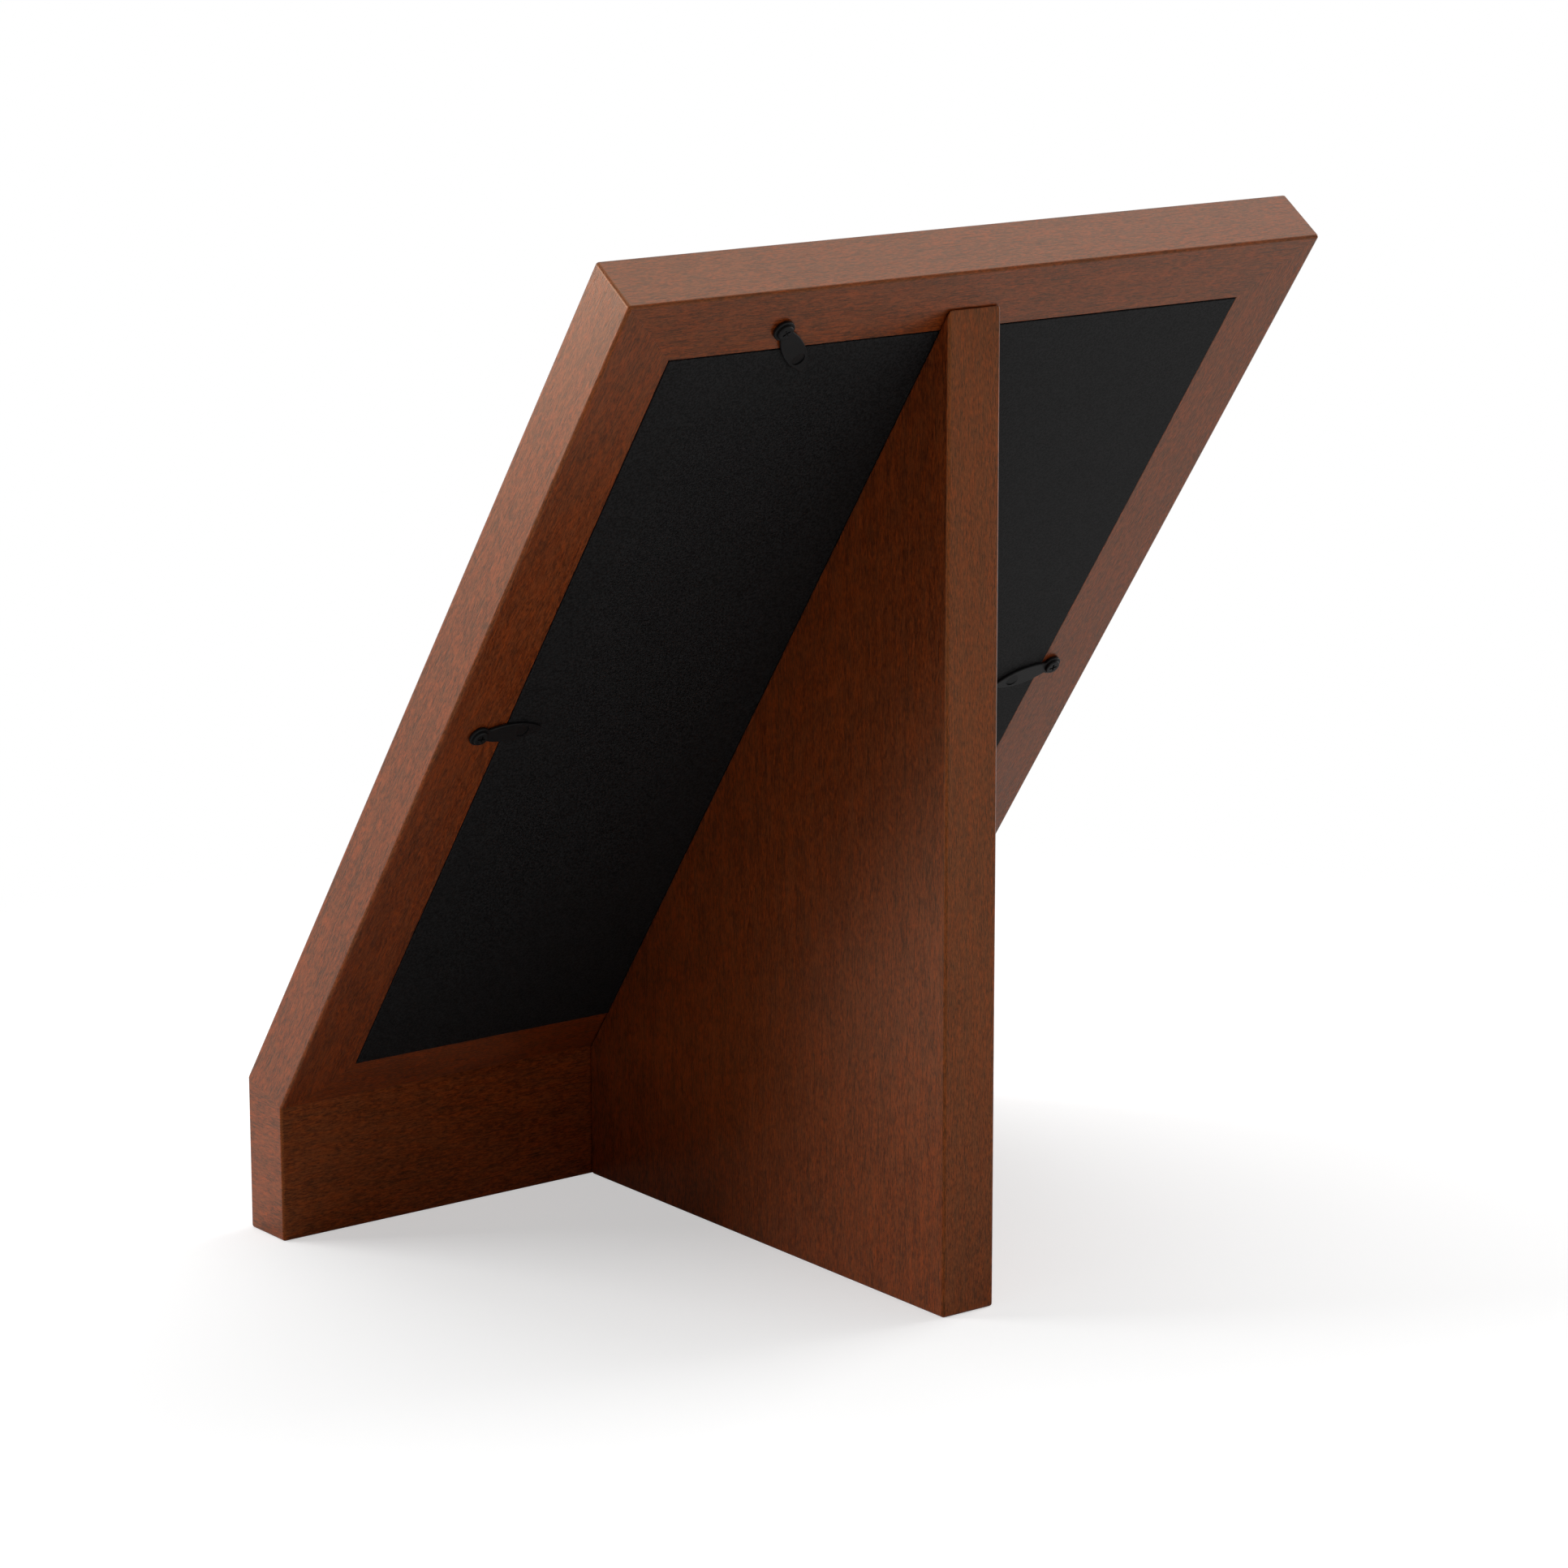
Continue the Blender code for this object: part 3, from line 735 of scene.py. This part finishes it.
def make_backing_board():
    """The board sits hard down on the rebate's lower edge, with a thin gap round the rest."""
    left, right = BOARD_GAPS["left"] - OPENING_HALF, OPENING_HALF - BOARD_GAPS["right"]
    bottom, top = OPENING_BOTTOM + BOARD_GAPS["bottom"], OPENING_TOP - BOARD_GAPS["top"]
    board = start_box(
        "black_backing_board", (left, bottom, -BOARD_PROUD), (right, top, BOARD_THICKNESS)
    )
    ease_square_edges(board, ARRIS, 3)
    settle(board, ON_SLOPE)
    return board


def finish_board(board):
    smooth(board)
    dress(board, "frame", "black_board", black_board(), "backing_board")


def sheet(name, low, thickness):
    """A flat sheet in the rebate, with play all round."""
    return start_box(
        name,
        (-OPENING_HALF + SHEET_PLAY, OPENING_BOTTOM + SHEET_PLAY, low),
        (OPENING_HALF - SHEET_PLAY, OPENING_TOP - SHEET_PLAY, low + thickness),
    )


def make_picture():
    print_low = BOARD_THICKNESS + LAYER_GAP
    mat_low = print_low + PRINT_THICKNESS + LAYER_GAP
    pane_low = mat_low + MAT_THICKNESS + LAYER_GAP

    print_sheet = sheet("printed_picture", print_low, PRINT_THICKNESS)
    start_edit(print_sheet)
    pick(print_sheet, "FACE", facing(0, 0, 1))
    bpy.ops.mesh.inset(thickness=PRINT_EDGE, depth=0)
    end_edit()
    settle(print_sheet, ON_SLOPE)
    smooth(print_sheet)
    dress(print_sheet, "frame", "print_paper", printed_landscape(), "picture_print")

    # The window's sides splay at 45 degrees towards the front.
    mat = sheet("window_mat", mat_low, MAT_THICKNESS)
    start_edit(mat)
    for side, border in ((1, MAT_BORDER - MAT_THICKNESS), (-1, MAT_BORDER)):
        pick(mat, "FACE", facing(0, 0, side))
        bpy.ops.mesh.inset(thickness=border, depth=0)
    middle = Vector((0, (OPENING_BOTTOM + OPENING_TOP) / 2, 0))

    def is_window(face):
        centre = face.calc_center_median()
        return abs(face.normal.z) > 0.5 and (centre - middle).xy.length < SPARE

    pick(mat, "FACE", is_window)
    bpy.ops.mesh.bridge_edge_loops()
    end_edit()
    settle(mat, ON_SLOPE)
    smooth(mat)
    dress(mat, "frame", "mat_card", mat_card(), "mat_board")

    pane = sheet("glass_sheet", pane_low, GLASS_THICKNESS)
    ease_square_edges(pane, GLASS_EDGE, 2)
    settle(pane, ON_SLOPE)
    smooth(pane)
    dress(pane, "frame", "clear_glass", clear_glass(), "glass_pane")


# Screws


def cross_recess(name, reach, slot, low, high):
    """Two crossed wedges, narrower at the bottom, that cut a cross recess."""
    narrower = (0.45, 0.6, 1)
    wedges = []
    for number, turn in enumerate((0, math.pi / 2)):
        wedge = start_box(f"{name}_{number}", (-reach, -slot, low), (reach, slot, high))
        start_edit(wedge)
        pick(wedge, "FACE", facing(0, 0, -1))
        bpy.ops.transform.resize(value=narrower, center_override=(0, 0, low))
        end_edit()
        settle(wedge, Matrix.Rotation(turn, 4, "Z"))
        wedges.append(wedge)
    combine(wedges[0], wedges[1], "UNION")
    return wedges[0]


def threaded_shank(name, radius, low, high, pitch):
    """A pointed core on the Z axis with one ridge wound round it."""
    core_radius = radius * 0.76
    root = 0.8 * core_radius
    half_root = 0.32 * pitch
    crest_share = 0.12
    point_share = 0.15
    core_sides = 20
    turn_steps = 16
    shoulder = low + 2 * radius
    core = start_rod(name, core_radius, shoulder, high, core_sides)
    start_edit(core)
    pick(core, "FACE", facing(0, 0, -1))
    bpy.ops.mesh.extrude_region_move(TRANSFORM_OT_translate={"value": (0, 0, low - shoulder)})
    bpy.ops.transform.resize(value=(point_share, point_share, 1), center_override=(0, 0, 0))
    end_edit()

    # The ridge's section is one face, cut from a thin box.
    ridge = start_box(
        name + "_ridge",
        (root, -NEAR, shoulder - half_root),
        (radius, NEAR, shoulder + half_root),
    )
    start_edit(ridge)
    pick(ridge, "FACE", facing(1, 0, 0))
    bpy.ops.transform.resize(value=(1, 1, crest_share), center_override=(radius, 0, shoulder))
    pick(ridge, "FACE", facing(0, 1, 0))
    bpy.ops.mesh.select_all(action="INVERT")
    bpy.ops.mesh.delete(type="FACE")
    end_edit()
    wind = ridge.modifiers.new("thread", "SCREW")
    wind.screw_offset = pitch
    wind.iterations = math.floor((high - shoulder) / pitch) - 1
    wind.steps = wind.render_steps = turn_steps
    wind.merge_threshold = MERGE
    apply_modifier(ridge, wind)
    start_edit(ridge)
    bpy.ops.mesh.select_all(action="DESELECT")
    bpy.ops.mesh.select_mode(type="EDGE")
    bpy.ops.mesh.select_non_manifold()
    bpy.ops.mesh.edge_face_add()
    bpy.ops.mesh.select_all(action="SELECT")
    bpy.ops.mesh.normals_make_consistent(inside=False)
    end_edit()
    combine(core, ridge, "UNION")
    return core


def make_button_screw(name):
    """A small pan head screw that stands proud of the button's plate."""
    seat = PLATE_TOP + JOINT
    top = seat + BUTTON_HEAD_HEIGHT
    head = start_rod(name, BUTTON_HEAD_RADIUS, seat, top, BUTTON_SIDES)
    start_edit(head)
    pick(head, "EDGE", on_level(top))
    ease(BUTTON_HEAD_EDGE, 6)
    end_edit()
    recess = cross_recess(
        name + "_recess",
        BUTTON_RECESS_REACH,
        BUTTON_RECESS_SLOT,
        top - BUTTON_RECESS_DEPTH,
        top + 2 * FIT,
    )
    combine(head, recess)
    shank = threaded_shank(
        name + "_shank",
        BUTTON_SCREW_RADIUS,
        BUTTON_SCREW_POINT,
        seat + SHANK_IN_HEAD,
        BUTTON_SCREW_PITCH,
    )
    combine(head, shank, "UNION")
    return head


def countersunk(name, radius, top_radius, low, rim, rise):
    """A cone that widens up to its rim and then goes straight up."""
    cone = start_rod(name, radius, low, rim, FIN_SCREW_SIDES, top_radius=top_radius)
    start_edit(cone)
    pick(cone, "FACE", facing(0, 0, 1))
    bpy.ops.mesh.extrude_region_move(TRANSFORM_OT_translate={"value": (0, 0, rise)})
    end_edit()
    return cone


def make_fin_screw(name):
    """A countersunk screw with its head at the origin, driven towards -z."""
    head = countersunk(
        name, FIN_SCREW_RADIUS, FIN_SCREW_HEAD, -FIN_SCREW_CONE, -FIN_SCREW_RIM, FIN_SCREW_RIM
    )
    recess = cross_recess(
        name + "_recess", FIN_RECESS_REACH, FIN_RECESS_SLOT, -FIN_RECESS_DEPTH, 4 * FIT
    )
    combine(head, recess)
    shank = threaded_shank(
        name + "_shank",
        FIN_SCREW_RADIUS,
        -FIN_SCREW_LENGTH,
        -FIN_SCREW_CONE + SHANK_IN_HEAD,
        FIN_SCREW_PITCH,
    )
    combine(head, shank, "UNION")
    return head


def drill(wood, place, radius, low, high):
    """A round hole along a place's Z axis."""
    bit = start_rod("drill_bit", radius, low, high, HOLE_SIDES)
    settle(bit, place)
    combine(wood, bit)


def make_fin_screws(fin, board):
    """Three screws from the board's hidden face into the fin."""
    first = make_fin_screw("fin_screw_1_steel")
    screws = [first]
    screws += [twin(first, f"fin_screw_{number}_steel") for number in (2, 3)]
    # The countersink starts well inside the drilled hole, so that their walls cross cleanly.
    sink_radius = FIN_SCREW_RADIUS - 4 * FIT
    sink_low = -FIN_SCREW_CONE - 6 * FIT
    for number, (screw, up) in enumerate(zip(screws, FIN_SCREW_PLACES), 1):
        # The screw's own Z axis points out of the frame's front.
        place = ON_SLOPE @ Matrix.Translation((0, OPENING_BOTTOM + up, BOARD_THICKNESS))
        for wood in (fin, board):
            drill(wood, place, FIN_SCREW_RADIUS + FIT, -FIN_SCREW_LENGTH - FIT, SPARE)
        sink = countersunk(
            "countersink", sink_radius, FIN_SCREW_HEAD + FIT, sink_low, -FIN_SCREW_RIM, SPARE
        )
        settle(sink, place)
        combine(board, sink)
        settle(screw, place)
        smooth(screw)
        dress(screw, "frame", "zinc_steel", zinc_steel(), f"fin_screw_{number}")


# Keys and dowels


def make_keys(woods):
    """A loose tongue across each mitre, in a slot that the two pieces share."""
    size = Vector((KEY_ACROSS, KEY_ALONG, KEY_THICKNESS))
    room = size + 2 * Vector((FIT, FIT, FIT))
    finish = plain_beech()
    for upright, y in (("top", OPENING_TOP), ("bottom", OPENING_BOTTOM)):
        for side, x in (("left", -OPENING_HALF), ("right", OPENING_HALF)):
            up, out = math.copysign(1, y - SLOPE / 2), math.copysign(1, x)
            middle = Vector((x + out * KEY_ROOM / 2, y + up * KEY_ROOM / 2, KEY_DEPTH))
            turn = Matrix.Rotation(math.atan2(up, out) + math.pi / 2, 4, "Z")
            place = ON_SLOPE @ Matrix.Translation(middle) @ turn
            for wood in (upright + "_rail", side + "_stile"):
                slot = start_box("key_slot", -room / 2, room / 2)
                settle(slot, place)
                combine(woods[wood], slot)
            node = f"corner_key_{upright}_{side}"
            key = start_box(node + "_wood", -size / 2, size / 2)
            ease_square_edges(key, KEY_EDGE, 2)
            settle(key, place)
            smooth(key)
            dress(key, "frame", "plain_beech", finish, node)


def make_dowels(plinth, bottom_rail):
    """Fluted dowels square to the bend, half in the plinth and half in the bottom rail."""
    middle = Vector((0, BEND_Y - STOCK / 2, PLINTH_HEIGHT + BEND_RISE / 2))
    tilt = Matrix.Rotation(-LEAN / 2, 4, "X")
    half = DOWEL_LENGTH / 2
    first = start_rod("plinth_dowel_1_wood", DOWEL_RADIUS, -half, half, DOWEL_SIDES)
    start_edit(first)
    pick(first, "EDGE", lambda edge: all(at(abs(v.co.z), half) for v in edge.verts))
    ease(DOWEL_EDGE, 2)

    def on_flute(face):
        centre = face.calc_center_median()
        side = math.atan2(centre.y, centre.x) / math.tau * DOWEL_SIDES - 0.5
        return abs(face.normal.z) < 0.1 and round(side) % FLUTE_EVERY == 0

    pick(first, "FACE", on_flute)
    bpy.ops.mesh.inset(thickness=FLUTE_WALL, depth=-FLUTE_DEPTH, use_individual=True)
    end_edit()
    dowels = [first] + [twin(first, f"plinth_dowel_{number}_wood") for number in (2, 3, 4)]
    for number, (dowel, across) in enumerate(zip(dowels, DOWEL_PLACES), 1):
        place = Matrix.Translation(middle + Vector((across, 0, 0))) @ tilt
        for wood in (plinth, bottom_rail):
            drill(wood, place, DOWEL_RADIUS + FIT, -half - FIT, half + FIT)
        settle(dowel, place)
        smooth(dowel)
        dress(dowel, "frame", "plain_beech", plain_beech(), f"plinth_dowel_{number}")


# Turn buttons


def plate_outline():
    """Half widths of the plate at places along it: the round eye, the leaf and its blunt tip."""

    def on_circle(radius, angle):
        return radius * Vector((math.cos(angle), math.sin(angle)))

    first, neck = math.radians(172), math.asin(NECK_HALF / EYE_RADIUS)
    steps = 15
    turns = [first + (neck - first) * step / steps for step in range(steps + 1)]
    eye = [on_circle(EYE_RADIUS, turn) for turn in turns]
    tip_centre = Vector((BLADE_LENGTH - TIP_RADIUS, 0))
    tip = [on_circle(TIP_RADIUS, math.radians(turn)) + tip_centre for turn in (50, 35, 20, 7)]
    flare = eye[-1] + Vector((1.7, 0.5)) * MM
    straight = Vector((2.4 * MM, 0))
    shoulder = tip[0] + Vector((-1.0, 0.84)) * MM
    rear = interpolate_bezier(eye[-1], flare, WIDEST - straight, WIDEST, 9)
    front = interpolate_bezier(WIDEST, WIDEST + straight, shoulder, tip[0], 14)
    return [*eye, *rear[1:], *front[1:], *tip[1:]]


def make_plate(name):
    """The flat plate, drawn out station by station, with rounded edges and a scooped dent."""
    middle = (PLATE_UNDER + PLATE_TOP) / 2
    stations = plate_outline()
    end, width = stations[0]
    plate = start_box(name, (-EYE_RADIUS, -width, PLATE_UNDER), (end, width, PLATE_TOP))
    start_edit(plate)
    pick(plate, "FACE", facing(1, 0, 0))
    for before, after in zip(stations, stations[1:]):
        bpy.ops.mesh.extrude_region_move(
            TRANSFORM_OT_translate={"value": (after.x - before.x, 0, 0)}
        )
        bpy.ops.transform.resize(
            value=(1, after.y / before.y, 1), center_override=(after.x, 0, middle)
        )

    for level, radius, segments in PLATE_EDGES:
        pick(plate, "FACE", on_level(level))
        bpy.ops.mesh.dissolve_faces()
        pick(plate, "EDGE", on_level(level))
        ease(radius, segments)
    end_edit()
    # The scoop's floor runs down towards the tip and ends in a low curved wall.
    tilt = math.atan2(DENT_DEPTH, 2 * DENT_RADIUS)
    dent = start_rod("dent", DENT_RADIUS, 0, SPARE, BUTTON_SIDES)
    place = Matrix.Translation((DENT_PLACE, 0, PLATE_TOP - DENT_DEPTH / 2))
    settle(dent, place @ Matrix.Rotation(tilt, 4, "Y"))
    combine(plate, dent)
    combine(plate, start_rod("screw_room", BUTTON_SCREW_RADIUS + FIT, -MM, SPARE, HOLE_SIDES))
    return plate


def make_turn_buttons(woods):
    """Four buttons, each on its own screw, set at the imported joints' places."""
    finish = black_metal()
    screw = make_button_screw("button_screw")
    button = make_plate("turn_button")
    turn_over = Matrix.Rotation(math.pi, 4, "X")
    slope_turn = ON_SLOPE.to_3x3().to_4x4()
    places = {joint["child"]: Vector(joint["pos_m"]) for joint in frame["joints"]}
    for side, degrees in BLADE_TURNS.items():
        body = "turn_button_" + side
        turn = Matrix.Rotation(math.radians(degrees), 4, "Z")
        place = Matrix.Translation(places[body]) @ slope_turn @ turn @ turn_over
        if side == "bottom":
            place = place @ Matrix.Translation((0, 0, BOTTOM_BUTTON_LIFT))
        drill(woods[side], place, BUTTON_SCREW_RADIUS + FIT, BUTTON_SCREW_POINT - FIT, MM)
        for source, node, rides_on in (
            (button, body, body),
            (screw, "button_screw_" + side, "frame"),
        ):
            piece = twin(source, node + "_steel")
            settle(piece, place)
            smooth(piece)
            dress(piece, rides_on, "black_metal", finish, node)
    for pattern in (button, screw):
        bpy.data.objects.remove(pattern)


# Studio


def make_floor():
    """A pale floor that keeps the object's shadow and is seen as plain white further out."""
    bpy.ops.object.select_all(action="DESELECT")
    bpy.ops.mesh.primitive_plane_add(size=FLOOR_SIZE, location=(0, 0, 0))
    floor = name_piece("studio_floor")
    paint = Finish("studio_floor", Roughness=0.95, Specular_IOR_Level=0.0)
    paint.shader.inputs["Base Color"].default_value = (FLOOR_TONE, FLOOR_TONE, FLOOR_TONE, 1)
    bounce = Value(paint, paint.shader.outputs[0])
    glow = paint.node("Emission", {}, {"Color": (1, 1, 1, 1), "Strength": FLOOR_GLOW})
    shade = paint.node("BsdfDiffuse", {}, {"Color": (FLOOR_SHADE,) * 3 + (1,)})
    shown = paint.node("AddShader", {}, {0: glow, 1: shade})
    camera = paint.node("LightPath", output="Is Camera Ray")
    mirror = paint.node("LightPath", output="Is Glossy Ray")
    through = paint.node("LightPath", output="Is Transmission Ray")
    direct = paint.maths("MAXIMUM", camera, through)
    near = paint.node("MixShader", {}, {0: direct, 1: bounce, 2: shown})
    white = paint.node("Emission", {}, {"Color": (1, 1, 1, 1), "Strength": 1.0})
    out = paint.node("VectorMath", {"operation": "LENGTH"}, {0: paint.place}, output="Value")
    far = paint.between(out, SHADOW_REACH, 2 * SHADOW_REACH)
    surface = paint.node(
        "MixShader", {}, {0: far * paint.maths("MAXIMUM", direct, mirror), 1: near, 2: white}
    )
    output = paint.tree.nodes["Material Output"]
    paint.tree.links.new(surface.socket, output.inputs["Surface"])
    floor.data.materials.append(paint.material)


def make_world():
    """A pale tone beyond the floor, which is seen and mirrored but lights no matt surface."""
    world = bpy.data.worlds.new("studio")
    bpy.context.scene.world = world
    world.use_nodes = True
    tree = world.node_tree
    dark = tree.nodes["Background"]
    dark.inputs["Strength"].default_value = 0
    pale = tree.nodes.new("ShaderNodeBackground")
    pale.inputs["Color"].default_value = (SKY_TONE, SKY_TONE, SKY_TONE, 1)
    pale.inputs["Strength"].default_value = 1
    path = tree.nodes.new("ShaderNodeLightPath")
    looks = path.outputs["Is Camera Ray"]
    for ray in ("Is Glossy Ray", "Is Transmission Ray"):
        either = tree.nodes.new("ShaderNodeMath")
        either.operation = "MAXIMUM"
        tree.links.new(looks, either.inputs[0])
        tree.links.new(path.outputs[ray], either.inputs[1])
        looks = either.outputs[0]
    mix = tree.nodes.new("ShaderNodeMixShader")
    tree.links.new(looks, mix.inputs[0])
    tree.links.new(dark.outputs[0], mix.inputs[1])
    tree.links.new(pale.outputs[0], mix.inputs[2])
    tree.links.new(mix.outputs[0], tree.nodes["World Output"].inputs["Surface"])


def make_lamp(name, direction, height_angle, distance, side, power):
    """A square soft box that faces the object, with its lower edge above the floor."""
    across, up = math.radians(direction), math.radians(height_angle)
    place = AIM + distance * Vector(
        (math.cos(across) * math.cos(up), math.sin(across) * math.cos(up), math.sin(up))
    )
    place.z = max(place.z, side / 2 * math.cos(up) + 0.01)
    lamp = bpy.data.lights.new(name, "AREA")
    lamp.shape = "SQUARE"
    lamp.size = side
    lamp.energy = power
    holder = bpy.data.objects.new(name, lamp)
    holder.location = place
    holder.rotation_mode = "QUATERNION"
    holder.rotation_quaternion = (AIM - place).to_track_quat("-Z", "Y")
    bpy.context.scene.collection.objects.link(holder)


def make_camera():
    camera = bpy.data.cameras.new("camera")
    camera.lens = CAMERA_LENS
    camera.sensor_width = 36
    camera.clip_start = 0.01
    holder = bpy.data.objects.new("camera", camera)
    holder.location = CAMERA_PLACE
    holder.rotation_mode = "QUATERNION"
    roll = Quaternion((0, 0, 1), CAMERA_ROLL)
    holder.rotation_quaternion = CAMERA_LOOK.to_track_quat("-Z", "Y") @ roll
    bpy.context.scene.collection.objects.link(holder)
    bpy.context.scene.camera = holder


make_camera()
woods = make_moulding()
fin = make_fin()
board = make_backing_board()
make_keys(woods)
make_dowels(woods["plinth_board"], woods["bottom_rail"])
make_fin_screws(fin, board)
make_turn_buttons(
    {
        "top": woods["top_rail"],
        "bottom": woods["bottom_rail"],
        "left": woods["left_stile"],
        "right": woods["right_stile"],
    }
)
finish_moulding(woods)
finish_fin(fin)
finish_board(board)
make_picture()
make_floor()
make_world()
for name, lamp in LAMPS.items():
    make_lamp(name, *lamp)

bpy.context.scene.view_settings.view_transform = "Standard"
